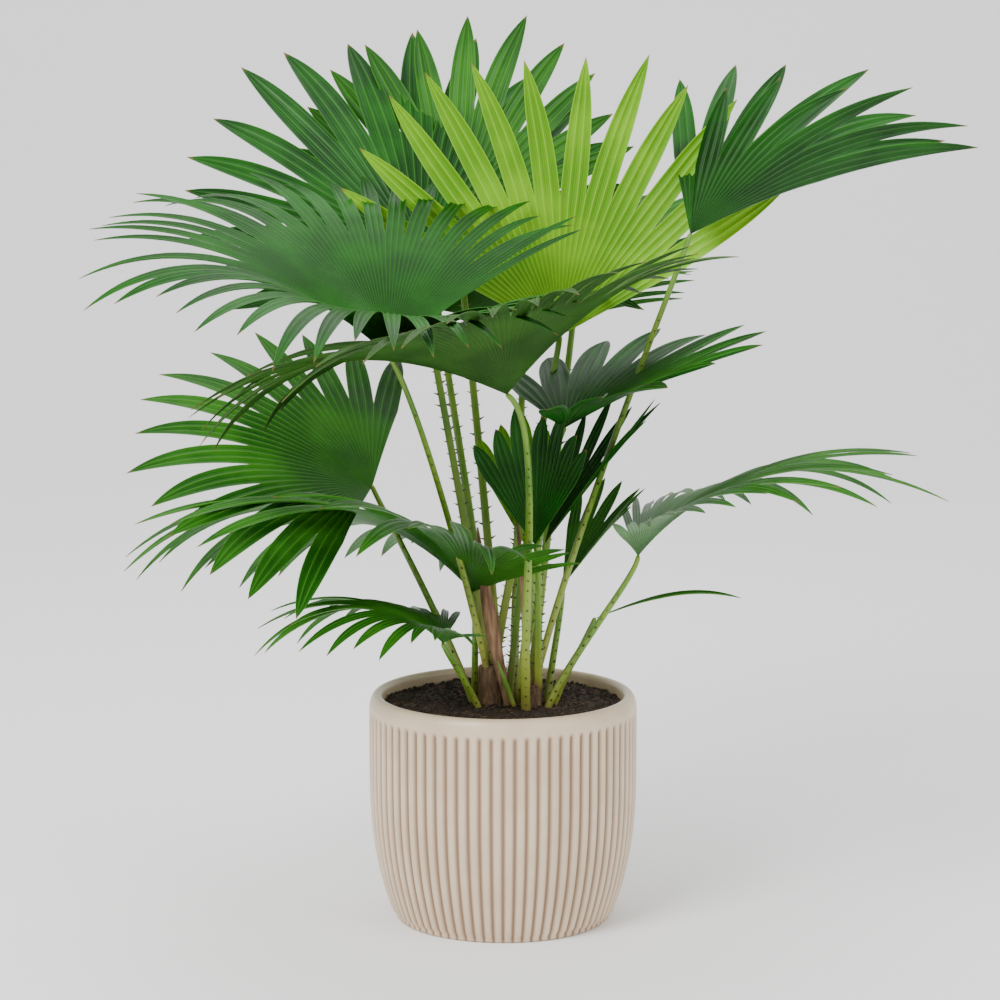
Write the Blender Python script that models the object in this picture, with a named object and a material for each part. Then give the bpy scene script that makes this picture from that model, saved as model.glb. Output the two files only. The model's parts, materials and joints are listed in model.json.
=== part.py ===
"""Potted footstool palm: a two-stemmed clump of round, pleated fan leaves in a fluted pot.

Metres, +Z up. The origin is the centre of the pot's flat underside, the part faces -Y,
and +X is to its right. Each stem, stalk and leaf blade is its own closed solid.
A leaf is worked out from the place of its hastula (where the stalk meets the blade),
the way its midrib points and a few angles and lengths.
"""
import math
import random
from collections import namedtuple

import bmesh
import bpy
from mathutils import Vector
from mathutils.bvhtree import BVHTree

# Gap between neighbouring solids
GAP = 0.0003

# Pot
POT_HEIGHT = 0.214
POT_RADIUS = 0.125
POT_FOOT_RADIUS = 0.0965
POT_FOOT_ROUND = 0.0045
POT_BELLY_HEIGHT = 0.150
POT_BELLY_POWER = 2.7
POT_SHOULDER_HEIGHT = 0.199
POT_RIM_CREST_RADIUS = 0.1175
POT_RIM_INNER_RADIUS = 0.1125
POT_WALL = 0.0125
POT_FLOOR = 0.012
POT_SIDES = 60

# Potting mix
SOIL_LEVEL = 0.2030
SOIL_CLEARANCE = 0.0008

# Stalks
STEM_SIDES = 12
STALK_SIDES = 6
STALK_RINGS = 8
STALK_TIP_RADIUS = 0.0028
STALK_ARRIVAL = 50.0
STALK_LEAN_SHARE = 0.75
STALK_TIP_GAP = 0.0006

# Blades
BLADE_THICKNESS_RATIO = 0.0105
BEND_STEPS = 24
STEEP_LIMIT = -84.0
SHORT_LOBE_STIFFNESS = 3.0
LOBE_STATIONS = (0.0, 0.42, 0.78, 1.0)
LOBE_TAPER_POWER = 2.0
JOINED_STATIONS = (0.42, 1.0)
LOBE_SHARES = (1.0, 0.75, 0.5)
BLADE_CLEARANCE = 0.0004
LENGTH_JITTER = 0.06
DROOP_JITTER = 9.0

COLOURS = {
    "glaze": (0.79, 0.66, 0.53, 1.0),
    "soil": (0.045, 0.027, 0.017, 1.0),
    "stem": (0.22, 0.12, 0.06, 1.0),
    "sheath": (0.36, 0.20, 0.11, 1.0),
    "stalk": (0.16, 0.30, 0.04, 1.0),
    "dark_leaf": (0.02, 0.12, 0.015, 1.0),
    "mid_leaf": (0.05, 0.20, 0.02, 1.0),
    "young_leaf": (0.26, 0.48, 0.03, 1.0),
}
ROUGHNESS = {"glaze": 0.35, "soil": 0.95, "stem": 0.85, "sheath": 0.8, "stalk": 0.5}
LEAF_ROUGHNESS = 0.42

# One leaf: hastula and foot are points in metres, angles are degrees. heading is the
# midrib's direction round +Z from +X, rise its slope, roll turns the fan about it.
# spread is half of the fan's angle, cup lifts every ray off the fan's plane, fold
# lifts both halves like a book. droop is how far a level ray has turned down at its
# tip. split is where the fan parts into lobes, short how much the basal lobes lack.
Leaf = namedtuple("Leaf", "name hastula foot foot_radius lean heading rise roll spread cup "
                          "fold length droop arch lobes split short colour")

LEAVES = (
    Leaf("young_fan", (0.0530, 0.070, 0.5400), (-0.0075, -0.0015, 0.2398), 0.0041, 0.12,
         92, 80, 0, 62, 12, 0, 0.275, 6, 2.0, 12, 0.50, 0.12, "young_leaf"),
    Leaf("front_cup", (0.0033, -0.165, 0.5150), (0.0215, -0.0345, 0.2036), 0.0055, 0.12,
         180, -12, -6, 156, 36, 0, 0.290, 70, 1.3, 20, 0.50, 0.12, "dark_leaf"),
    Leaf("left_cup", (-0.1020, -0.120, 0.5450), (-0.0155, -0.0085, 0.2398), 0.0041, 0.12,
         182, 6, 10, 152, 38, 0, 0.305, 75, 1.5, 20, 0.50, 0.28, "dark_leaf"),
    Leaf("high_right", (0.1719, 0.010, 0.6408), (0.0290, -0.0080, 0.2230), 0.0041, 0.12,
         5, 21, 0, 78, 5, 40, 0.268, 38, 1.5, 12, 0.48, 0.30, "dark_leaf"),
    Leaf("high_left", (-0.0776, 0.110, 0.6137), (-0.0155, 0.0020, 0.2398), 0.0041, 0.12,
         105, 46, 0, 118, 8, 0, 0.262, 15, 2.0, 18, 0.52, 0.20, "dark_leaf"),
    Leaf("left_arch", (-0.0288, 0.0000, 0.3087), (-0.0260, 0.0150, 0.2036), 0.0045, 0.12,
         182, 24, -10, 115, 26, 0, 0.350, 108, 1.0, 16, 0.50, 0.55, "mid_leaf"),
    Leaf("right_arch", (0.1245, -0.020, 0.3462), (0.0410, -0.0220, 0.2036), 0.0045, 0.12,
         0, 30, 6, 88, 22, 0, 0.300, 108, 1.0, 14, 0.48, 0.50, "mid_leaf"),
    Leaf("left_fan", (-0.1221, 0.030, 0.4035), (-0.0275, -0.0010, 0.2036), 0.0045, 0.12,
         178, 22, 26, 86, 10, 0, 0.235, 35, 1.5, 14, 0.52, 0.10, "mid_leaf"),
    Leaf("right_dark", (0.0561, -0.040, 0.4683), (0.0130, -0.0030, 0.2036), 0.0045, 0.12,
         8, 12, 0, 110, 20, 0, 0.200, 25, 2.0, 12, 0.55, 0.25, "dark_leaf"),
    Leaf("low_left", (-0.0551, -0.050, 0.2704), (-0.0225, -0.0240, 0.2036), 0.0040, 0.12,
         185, 22, -4, 100, 24, 0, 0.185, 110, 1.0, 12, 0.48, 0.45, "mid_leaf"),
    Leaf("centre_folded", (0.0291, -0.060, 0.3634), (0.0330, -0.0165, 0.2230), 0.0038, 0.12,
         60, 78, 0, 42, 5, 20, 0.125, 0, 2.0, 7, 0.70, 0.20, "dark_leaf"),
    Leaf("right_low_fan", (0.0554, 0.030, 0.3079), (0.0410, -0.0030, 0.2036), 0.0042, 0.12,
         20, 46, 0, 40, 5, 20, 0.125, 10, 2.0, 7, 0.60, 0.15, "mid_leaf"),
    Leaf("right_back_fan", (0.0389, 0.010, 0.3530), (0.0130, 0.0080, 0.2036), 0.0042, 0.12,
         15, 46, 0, 34, 5, 20, 0.165, 5, 2.0, 7, 0.55, 0.15, "dark_leaf"),
    Leaf("centre_young", (0.0200, 0.050, 0.3450), (0.0060, 0.0240, 0.2036), 0.0038, 0.12,
         90, 82, 0, 30, 5, 0, 0.120, 0, 2.0, 5, 0.70, 0.20, "young_leaf"),
    Leaf("strap", (0.0850, -0.0080, 0.2850), (0.0480, -0.0100, 0.2036), 0.0030, 0.12,
         0, 18, 0, 7, 5, 0, 0.135, 32, 1.5, 1, 0.45, 0.0, "mid_leaf"),
    Leaf("high_back", (-0.045, 0.180, 0.640), (-0.002, 0.018, 0.2036), 0.0045, 0.12,
         80, 66, 0, 75, 10, 0, 0.205, 12, 2.0, 11, 0.52, 0.10, "mid_leaf"),
    Leaf("back_mid", (0.020, 0.200, 0.530), (0.010, 0.036, 0.2036), 0.0045, 0.12,
         88, 25, 0, 80, 14, 0, 0.215, 45, 1.5, 12, 0.50, 0.25, "mid_leaf"),
    Leaf("back_right", (0.070, 0.160, 0.570), (0.026, 0.022, 0.2036), 0.0045, 0.12,
         65, 30, 0, 62, 14, 0, 0.180, 35, 1.5, 8, 0.50, 0.25, "mid_leaf"),
    Leaf("back_left", (-0.065, 0.200, 0.570), (-0.008, 0.038, 0.2036), 0.0045, 0.12,
         112, 25, 0, 65, 12, 0, 0.180, 35, 1.5, 9, 0.50, 0.25, "mid_leaf"),
)

# Dry leaf bases and a new spear: foot, tip, then radii at foot, middle and tip
Sheath = namedtuple("Sheath", "name foot tip radii bow colour")
SHEATHS = (
    Sheath("sheath_left", (0.0045, -0.0150, 0.2036), (-0.0235, -0.0140, 0.3720),
           (0.0030, 0.0065, 0.0008), -0.004, "sheath"),
    Sheath("sheath_right", (0.0225, -0.0205, 0.2230), (0.0135, -0.0280, 0.3780),
           (0.0034, 0.0030, 0.0012), 0.003, "sheath"),
    Sheath("spear", (0.0105, -0.0200, 0.2036), (-0.0050, -0.0225, 0.2480),
           (0.0020, 0.0022, 0.0006), 0.0, "stalk"),
)


def blade_frame(leaf):
    """Midrib direction, upper-face normal and sideways direction of a leaf."""
    heading, rise, roll = (math.radians(value) for value in (leaf.heading, leaf.rise, leaf.roll))
    along = Vector((math.cos(rise) * math.cos(heading), math.cos(rise) * math.sin(heading), math.sin(rise)))
    up = Vector((-math.sin(rise) * math.cos(heading), -math.sin(rise) * math.sin(heading), math.cos(rise)))
    side = up.cross(along)
    normal = up * math.cos(roll) + side * math.sin(roll)
    return along, normal, side * math.cos(roll) - up * math.sin(roll)


def ray_start(leaf, angle):
    """Direction in which the ray at this fan angle leaves the hastula."""
    along, normal, side = blade_frame(leaf)
    fold, cup = math.radians(leaf.fold), math.radians(leaf.cup)
    wing = side * math.copysign(math.cos(fold), angle) + normal * math.sin(fold)
    flat = along * math.cos(angle) + wing * abs(math.sin(angle))
    return (flat * math.cos(cup) + normal * math.sin(cup)).normalized()


def ray_points(leaf, angle, reach, distances, extra_droop=0.0):
    """Points at these distances along a ray that bends down as it goes out."""
    start = ray_start(leaf, angle)
    flat = Vector((start.x, start.y, 0.0)).normalized()
    slope = math.asin(max(-1.0, min(1.0, start.z)))
    slack = 0.25 + 0.75 * math.cos(slope)
    bend = math.radians(leaf.droop) * slack * (reach / leaf.length) ** SHORT_LOBE_STIFFNESS
    point = Vector(leaf.hastula)
    step = reach / BEND_STEPS
    track = [point.copy()]
    for index in range(BEND_STEPS):
        part = (index + 0.5) / BEND_STEPS
        late = max(0.0, part - leaf.split) / (1.0 - leaf.split)
        here = slope - bend * part ** leaf.arch - math.radians(extra_droop) * late
        here = max(here, math.radians(STEEP_LIMIT))
        point = point + (flat * math.cos(here) + Vector((0.0, 0.0, math.sin(here)))) * step
        track.append(point.copy())
    points = []
    for distance in distances:
        place = min(distance / step, BEND_STEPS - 1e-6)
        low = int(place)
        points.append(track[low].lerp(track[low + 1], place - low))
    return points


def lobe_width(part):
    """Half-width of a lobe between its split (0) and its tip (1), as a share of that at its split."""
    return 1.0 - part ** LOBE_TAPER_POWER


def lobe_shape(leaf, index, rng):
    """Length and extra droop of one lobe."""
    middle = (index + 0.5) / leaf.lobes * 2.0 - 1.0
    length = leaf.length * (1.0 - leaf.short * middle * middle)
    length *= 1.0 + rng.uniform(-LENGTH_JITTER, LENGTH_JITTER)
    return length, rng.uniform(-DROOP_JITTER, DROOP_JITTER)


def lobe_faces(leaf, index, corners, angles, lobe, reach, vertices):
    """Add one lobe's vertices, out to a share of its length, and return its faces."""
    length, extra = lobe
    right, left = corners
    middle = 0.5 * (angles[index] + angles[index + 1])
    start = leaf.split * length
    distances = [start + (length - start) * part * reach for part in LOBE_STATIONS]
    spine = ray_points(leaf, middle, length, distances, extra)
    half = (vertices[left] - vertices[right]) * 0.5
    shift = (vertices[left] + vertices[right]) * 0.5 - spine[0]
    faces = []
    for part, point in zip(LOBE_STATIONS[1:-1], spine[1:-1]):
        centre = point + shift * (1.0 - part)
        vertices.append(centre - half * lobe_width(part))
        vertices.append(centre + half * lobe_width(part))
        faces.append((right, len(vertices) - 2, len(vertices) - 1, left))
        right, left = len(vertices) - 2, len(vertices) - 1
    vertices.append(spine[-1])
    faces.append((right, len(vertices) - 1, left))
    return faces


def lobes_with_room(leaf, vertices, margins, is_clear):
    """Lobes left after the fan is trimmed, from its two ends, of those that start in a neighbour."""
    blocked = [index for index in range(leaf.lobes)
               if not is_clear(vertices, [(0, margins[index], margins[index + 1])])]
    low = max([index + 1 for index in blocked if index < leaf.lobes // 2], default=0)
    high = min([index for index in blocked if index >= leaf.lobes // 2], default=leaf.lobes)
    return range(low, high)


def blade_sheet(leaf, is_free, is_clear):
    """Vertices and faces of a blade's middle sheet; a lobe with no room is cut back."""
    rng = random.Random(leaf.name)
    spread = math.radians(leaf.spread)
    angles = [spread * (2.0 * index / leaf.lobes - 1.0) for index in range(leaf.lobes + 1)]
    lobes = [lobe_shape(leaf, index, rng) for index in range(leaf.lobes)]
    vertices = [Vector(leaf.hastula)]
    faces = []
    margins = []
    for index, angle in enumerate(angles):
        near = lobes[max(index - 1, 0)][0]
        reach = 0.5 * (near + lobes[min(index, leaf.lobes - 1)][0])
        joined = [reach * leaf.split * station for station in JOINED_STATIONS]
        margins.append(len(vertices))
        vertices += ray_points(leaf, angle, reach, joined)
    last = len(JOINED_STATIONS) - 1
    for index in lobes_with_room(leaf, vertices, margins, is_clear):
        right, left = margins[index], margins[index + 1]
        faces.append((0, right, left))
        joined = [(right + ring, right + ring + 1, left + ring + 1, left + ring) for ring in range(last)]
        if not is_free(vertices, joined):
            continue
        faces += joined
        corners = (right + last, left + last)
        for share in LOBE_SHARES:
            trial = list(vertices)
            added = lobe_faces(leaf, index, corners, angles, lobes[index], share, trial)
            if is_free(trial, added):
                vertices = trial
                faces += added
                break
    used = sorted({corner for face in faces for corner in face})
    order = {old: new for new, old in enumerate(used)}
    return [vertices[old] for old in used], [tuple(order[corner] for corner in face) for face in faces]


def room_test(obstacles, clearance):
    """Test that says whether faces, as thick as the clearance both ways, touch no obstacle."""
    def is_free(vertices, faces):
        for face in faces:
            corners = [vertices[index] for index in face]
            normal = (corners[1] - corners[0]).cross(corners[-1] - corners[0]).normalized()
            centre = sum(corners, Vector()) / len(corners)
            grown = [corner + (corner - centre).normalized() * clearance for corner in corners]
            for side in (-clearance, 0.0, clearance):
                layer = [corner + normal * side for corner in grown]
                sheet = BVHTree.FromPolygons(layer, [tuple(range(len(layer)))])
                if any(sheet.overlap(obstacle) for obstacle in obstacles):
                    return False
        return True
    return is_free


def solid_tree(made):
    """Search tree of an object's finished surface."""
    mesh = made.evaluated_get(bpy.context.evaluated_depsgraph_get()).to_mesh()
    return BVHTree.FromPolygons([vertex.co for vertex in mesh.vertices],
                                [tuple(face.vertices) for face in mesh.polygons])


def material(name):
    """Principled material in the part's plain colour."""
    made = bpy.data.materials.get(name)
    if made is None:
        made = bpy.data.materials.new(name)
        made.use_nodes = True
        shader = made.node_tree.nodes["Principled BSDF"]
        shader.inputs["Base Color"].default_value = COLOURS[name]
        shader.inputs["Roughness"].default_value = ROUGHNESS.get(name, LEAF_ROUGHNESS)
        made.diffuse_color = COLOURS[name]
    return made


def add_object(name, vertices, faces, colour, smooth=True):
    """Mesh object with outward faces."""
    mesh = bpy.data.meshes.new(name)
    mesh.from_pydata([tuple(vertex) for vertex in vertices], [], faces)
    work = bmesh.new()
    work.from_mesh(mesh)
    bmesh.ops.recalc_face_normals(work, faces=work.faces)
    work.to_mesh(mesh)
    work.free()
    if smooth:
        mesh.shade_smooth()
        mesh.set_sharp_from_angle(angle=math.radians(40))
    mesh.materials.append(material(colour))
    made = bpy.data.objects.new(name, mesh)
    bpy.context.scene.collection.objects.link(made)
    return made


def turned(name, profile, sides, colour):
    """Solid of revolution from (radius, height) points that start and end on the axis."""
    rings = [(radius, height) for radius, height in profile if radius > 0.0]
    vertices = [Vector((0.0, 0.0, profile[0][1])), Vector((0.0, 0.0, profile[-1][1]))]
    for radius, height in rings:
        for index in range(sides):
            turn = 2.0 * math.pi * index / sides
            vertices.append(Vector((radius * math.cos(turn), radius * math.sin(turn), height)))
    faces = []
    for index in range(sides):
        after = (index + 1) % sides
        faces.append((0, 2 + after, 2 + index))
        top = 2 + (len(rings) - 1) * sides
        faces.append((1, top + index, top + after))
        for ring in range(len(rings) - 1):
            low, high = 2 + ring * sides, 2 + (ring + 1) * sides
            faces.append((low + index, low + after, high + after, high + index))
    return add_object(name, vertices, faces, colour)


def pot_radius(height):
    """Outer radius of the pot under its shoulder."""
    if height >= POT_BELLY_HEIGHT:
        return POT_RADIUS
    rest = 1.0 - height / POT_BELLY_HEIGHT
    return POT_RADIUS - (POT_RADIUS - POT_FOOT_RADIUS - POT_FOOT_ROUND) * rest ** POT_BELLY_POWER


def quarter(centre_radius, centre_height, radius, height, start, steps):
    """Points on a quarter ellipse, from the start angle on, a quarter turn anticlockwise."""
    points = []
    for index in range(steps + 1):
        turn = math.radians(start + 90.0 * index / steps)
        points.append((centre_radius + radius * math.cos(turn), centre_height + height * math.sin(turn)))
    return points


def pot_inner(height, clear=0.0):
    """Inner radius of the pot, less a clearance."""
    lip = POT_RIM_INNER_RADIUS
    return min(lip, pot_radius(height) - POT_WALL) - clear


def make_pot():
    """Round-bellied pot, open at the top, on a flat underside."""
    profile = [(0.0, 0.0), (POT_FOOT_RADIUS, 0.0)]
    profile += quarter(POT_FOOT_RADIUS, POT_FOOT_ROUND, POT_FOOT_ROUND, POT_FOOT_ROUND, -90.0, 2)[1:]
    heights = [0.018, 0.040, 0.070, 0.105, POT_BELLY_HEIGHT, POT_SHOULDER_HEIGHT]
    profile += [(pot_radius(height), height) for height in heights]
    profile += quarter(POT_RIM_CREST_RADIUS, POT_SHOULDER_HEIGHT, POT_RADIUS - POT_RIM_CREST_RADIUS,
                       POT_HEIGHT - POT_SHOULDER_HEIGHT, 0.0, 3)[1:]
    lip = POT_RIM_CREST_RADIUS - POT_RIM_INNER_RADIUS
    profile += quarter(POT_RIM_CREST_RADIUS, POT_HEIGHT - lip, lip, lip, 90.0, 2)[1:]
    for height in (POT_BELLY_HEIGHT, 0.105, 0.070, 0.040, 0.022, POT_FLOOR):
        profile.append((pot_inner(height), height))
    profile.append((0.0, POT_FLOOR))
    return turned("pot", profile, POT_SIDES, "glaze")


def make_soil():
    """Potting mix that fills the pot to a little under its rim."""
    bottom = POT_FLOOR + GAP
    profile = [(0.0, bottom)]
    for height in (bottom, 0.022, 0.040, 0.070, 0.105, POT_BELLY_HEIGHT, SOIL_LEVEL - 0.002):
        profile.append((pot_inner(height, SOIL_CLEARANCE), height))
    profile.append((0.080, SOIL_LEVEL - 0.0003))
    profile.append((0.060, SOIL_LEVEL))
    profile.append((0.0, SOIL_LEVEL))
    return turned("potting_mix", profile, POT_SIDES, "soil")


def bezier(points, part):
    """Point at a share of the way along a Bezier curve."""
    points = [Vector(point) for point in points]
    while len(points) > 1:
        points = [low.lerp(high, part) for low, high in zip(points, points[1:])]
    return points[0]


def tube(name, path, radii, sides, colour, level_top=False):
    """Closed tapering limb along a path, its first face level, and its last on request."""
    vertices = []
    faces = []
    across = None
    for index, point in enumerate(path):
        after = path[min(index + 1, len(path) - 1)]
        before = path[max(index - 1, 0)]
        forward = (after - before).normalized()
        if index == 0 or (level_top and index == len(path) - 1):
            forward = Vector((0.0, 0.0, 1.0))
        if across is None:
            across = Vector((1.0, 0.0, 0.0))
        across = (across - forward * across.dot(forward)).normalized()
        second = forward.cross(across)
        for side in range(sides):
            turn = 2.0 * math.pi * side / sides
            vertices.append(point + (across * math.cos(turn) + second * math.sin(turn)) * radii[index])
    for ring in range(len(path) - 1):
        low, high = ring * sides, (ring + 1) * sides
        for side in range(sides):
            after = (side + 1) % sides
            faces.append((low + side, low + after, high + after, high + side))
    faces.append(tuple(reversed(range(sides))))
    faces.append(tuple(range((len(path) - 1) * sides, len(path) * sides)))
    return add_object(name, vertices, faces, colour)


def stalk_ends(leaf):
    """Tip of a stalk under its hastula, and the direction in which it gets there."""
    along, normal, side = blade_frame(leaf)
    arrival = math.radians(STALK_ARRIVAL)
    direction = (along * math.cos(arrival) + normal * math.sin(arrival)).normalized()
    clear = 0.5 * BLADE_THICKNESS_RATIO * leaf.length + STALK_TIP_GAP
    return Vector(leaf.hastula) - direction * clear, direction


def make_stalk(leaf):
    """Tapering leaf stalk from its foot to just under its blade."""
    foot = Vector(leaf.foot)
    tip, direction = stalk_ends(leaf)
    span = (tip - foot).length
    climb = Vector((0.0, 0.0, 1.0)).lerp((tip - foot).normalized(), STALK_LEAN_SHARE)
    control = (foot, foot + climb * span * 0.35, tip - direction * span * leaf.lean, tip)
    parts = [index / (STALK_RINGS - 1) for index in range(STALK_RINGS)]
    path = [bezier(control, part) for part in parts]
    radii = [leaf.foot_radius + (STALK_TIP_RADIUS - leaf.foot_radius) * part for part in parts]
    return tube("stalk_" + leaf.name, path, radii, STALK_SIDES, "stalk")


def make_blade(leaf, neighbours, stalk):
    """Thin fan without pleats, cut into lobes down to its split."""
    thickness = BLADE_THICKNESS_RATIO * leaf.length
    clearance = 0.5 * thickness + BLADE_CLEARANCE
    is_clear = room_test(neighbours, clearance)
    is_free = room_test(neighbours + [stalk], clearance)
    vertices, faces = blade_sheet(leaf, is_free, is_clear)
    made = add_object("leaf_" + leaf.name, vertices, faces, leaf.colour)
    thick = made.modifiers.new("thickness", "SOLIDIFY")
    thick.thickness = thickness
    thick.offset = 0.0
    return made


def make_sheath(sheath):
    """Slim dry leaf base or unopened spear."""
    foot, tip = Vector(sheath.foot), Vector(sheath.tip)
    middle = foot.lerp(tip, 0.5) + Vector((sheath.bow, 0.0, 0.0))
    parts = [index / (STALK_RINGS - 1) for index in range(STALK_RINGS)]
    path = [bezier((foot, middle, tip), part) for part in parts]
    low, mid, high = sheath.radii
    radii = [low + (mid - low) * 2.0 * part if part < 0.5 else mid + (high - mid) * (2.0 * part - 1.0)
             for part in parts]
    return tube(sheath.name, path, radii, STALK_SIDES, sheath.colour)


def make_stems():
    """Two short fibrous stems."""
    for name, foot, top, low, high in (
            ("stem_left", (-0.0120, -0.0080, SOIL_LEVEL + GAP), (-0.0125, -0.0035, 0.2393), 0.0112, 0.0098),
            ("stem_right", (0.0265, -0.0180, SOIL_LEVEL + GAP), (0.0265, -0.0150, 0.2225), 0.0098, 0.0090)):
        parts = [index / 4 for index in range(5)]
        path = [Vector(foot).lerp(Vector(top), part) for part in parts]
        radii = [low + (high - low) * math.sqrt(part) for part in parts]
        yield tube(name, path, radii, STEM_SIDES, "stem", level_top=True)


def clear_scene():
    """Start from an empty scene."""
    for item in list(bpy.data.objects):
        bpy.data.objects.remove(item, do_unlink=True)


def main():
    clear_scene()
    make_pot()
    make_soil()
    limbs = list(make_stems())
    limbs += [make_sheath(sheath) for sheath in SHEATHS]
    solids = [solid_tree(limb) for limb in limbs]
    stalks = {leaf.name: solid_tree(make_stalk(leaf)) for leaf in LEAVES}
    for leaf in LEAVES:
        others = [tree for name, tree in stalks.items() if name != leaf.name]
        solids.append(solid_tree(make_blade(leaf, solids + others, stalks[leaf.name])))


main()
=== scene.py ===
# %% [markdown]
# # Potted footstool palm
# A clump of round, pleated fan leaves on slim stalks stands in a pale fluted pot. The packed
# CAD part gives the place and size of every solid; this script puts fine looks over it.

# %% Frame and its size
import json
import math
import random
from collections import namedtuple

import bpy
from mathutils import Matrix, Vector, noise

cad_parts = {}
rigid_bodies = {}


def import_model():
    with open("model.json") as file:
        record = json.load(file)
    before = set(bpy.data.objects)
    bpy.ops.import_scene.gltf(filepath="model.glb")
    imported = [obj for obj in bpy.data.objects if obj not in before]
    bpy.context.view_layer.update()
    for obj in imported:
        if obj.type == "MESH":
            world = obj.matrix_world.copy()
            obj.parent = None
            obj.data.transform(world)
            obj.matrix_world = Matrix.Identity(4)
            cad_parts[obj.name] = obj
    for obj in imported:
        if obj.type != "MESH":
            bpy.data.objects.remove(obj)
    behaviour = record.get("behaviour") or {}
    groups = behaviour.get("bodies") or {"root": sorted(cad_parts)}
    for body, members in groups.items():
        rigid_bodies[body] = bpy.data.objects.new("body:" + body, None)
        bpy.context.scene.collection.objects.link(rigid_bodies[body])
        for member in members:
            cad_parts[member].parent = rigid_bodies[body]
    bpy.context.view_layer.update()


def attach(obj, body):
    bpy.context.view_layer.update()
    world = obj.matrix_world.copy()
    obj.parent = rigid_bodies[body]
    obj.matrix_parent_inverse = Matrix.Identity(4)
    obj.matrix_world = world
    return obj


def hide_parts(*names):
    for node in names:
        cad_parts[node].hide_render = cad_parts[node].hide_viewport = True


# The start-up file's own objects go before the frame comes in
for item in list(bpy.data.objects):
    bpy.data.objects.remove(item, do_unlink=True)
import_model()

# %% [markdown]
# ## Camera
# The photo was taken from the front and a little above, with a long lens. The camera's place,
# tilt and lens come from the ellipses of the pot's rim and foot.

# %% Camera
CAMERA_PLACE = (-0.0028, -3.20, 0.905)
CAMERA_TILT = math.radians(90.0 - 9.05)
CAMERA_LENS = 126.0

camera_data = bpy.data.cameras.new("photo_camera")
camera_data.lens = CAMERA_LENS
camera_data.sensor_width = 36.0
camera_data.clip_end = 60.0
camera_data.dof.use_dof = False
camera = bpy.data.objects.new("photo_camera", camera_data)
camera.location = CAMERA_PLACE
camera.rotation_euler = (CAMERA_TILT, 0.0, 0.0)
bpy.context.scene.collection.objects.link(camera)
bpy.context.scene.camera = camera
print("camera at", tuple(camera.location))

# %% [markdown]
# ## Mesh helpers
# Every piece is worked out as lists of vertices and faces. What a modifier or a node tree adds
# is kept as a plain mesh, so Blender shows the finished meshes.

# %% Mesh helpers
UP = Vector((0.0, 0.0, 1.0))
LEVEL = Vector((1.0, 0.0, 0.0))


def shares(count):
    """This many even shares from 0 to 1."""
    return [index / (count - 1) for index in range(count)]


def mesh_object(name, vertices, faces, uvs=None):
    """Object from vertices and faces; uvs holds one pair for each corner of each face."""
    mesh = bpy.data.meshes.new(name)
    mesh.from_pydata([tuple(vertex) for vertex in vertices], [], faces)
    if uvs:
        layer = mesh.uv_layers.new(name="UVMap")
        layer.data.foreach_set("uv", [value for pair in uvs for value in pair])
    mesh.shade_smooth()
    made = bpy.data.objects.new(name, mesh)
    bpy.context.scene.collection.objects.link(made)
    return made


def settle(made):
    """Turn an object with modifiers into a plain mesh and drop the modifiers."""
    graph = bpy.context.evaluated_depsgraph_get()
    mesh = bpy.data.meshes.new_from_object(made.evaluated_get(graph))
    made.modifiers.clear()
    made.data = mesh
    return made


def triangles(made):
    """Number of triangles in a plain mesh object."""
    return sum(len(face.vertices) - 2 for face in made.data.polygons)

# %% [markdown]
# ## Nodes written as arithmetic
# Trees could be wired up node by node, but a formula is easier to read. A Wire holds one
# socket, and adding or multiplying wires puts Math nodes into the tree. Colours go through
# Mix, because a Math node would turn them grey.

# %% One socket
def operator(operation, reflected=False):
    """Method of a Wire that puts one Math node on it and on another value."""
    def method(self, other):
        first, second = (other, self) if reflected else (self, other)
        return self.graph.maths(operation, first, second)
    return method


class Wire:
    """A node socket that can be used in arithmetic; each operation adds a Math node."""

    def __init__(self, graph, socket):
        self.graph = graph
        self.socket = socket

    __add__ = operator("ADD")
    __radd__ = operator("ADD", reflected=True)
    __sub__ = operator("SUBTRACT")
    __rsub__ = operator("SUBTRACT", reflected=True)
    __mul__ = operator("MULTIPLY")
    __rmul__ = operator("MULTIPLY", reflected=True)
    __truediv__ = operator("DIVIDE")
    __rtruediv__ = operator("DIVIDE", reflected=True)
    __pow__ = operator("POWER")
    __rpow__ = operator("POWER", reflected=True)
    maximum = operator("MAXIMUM")

    def wave(self):
        """Cosine of an angle, moved to lie between 0 and 1."""
        return 0.5 + 0.5 * self.graph.maths("COSINE", self)

    def rise(self, low, high):
        """0 below low, 1 above high, and a smooth step between."""
        inputs = {"Value": self, "From Min": low, "From Max": high}
        return self.graph.node("ShaderNodeMapRange", inputs, interpolation_type="SMOOTHSTEP")

# %% One tree
class Graph:
    """A node tree, for shaders or for geometry."""

    def __init__(self, tree):
        self.tree = tree

    def feed(self, socket, value):
        """Link a wire to a socket, or set the socket to a plain value."""
        if isinstance(value, Wire):
            self.tree.links.new(value.socket, socket)
        else:
            socket.default_value = value

    def node(self, kind, inputs=None, output=0, **settings):
        """New node: its settings first, then its sockets by name or number."""
        made = self.tree.nodes.new(kind)
        for key, value in settings.items():
            setattr(made, key, value)
        for key, value in (inputs or {}).items():
            self.feed(made.inputs[key], value)
        return Wire(self, made.outputs[output])

    def maths(self, operation, *values):
        return self.node("ShaderNodeMath", dict(enumerate(values)), operation=operation)

    def mix(self, factor, low, high):
        """Colour between two colours."""
        return self.node("ShaderNodeMix", {0: factor, 6: low, 7: high}, 2, data_type="RGBA")

    def parts(self, vector):
        """The three numbers of a vector."""
        split = self.node("ShaderNodeSeparateXYZ", {"Vector": vector})
        return [Wire(self, socket) for socket in split.socket.node.outputs]

    def vector(self, x, y, z):
        return self.node("ShaderNodeCombineXYZ", {"X": x, "Y": y, "Z": z})

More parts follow.
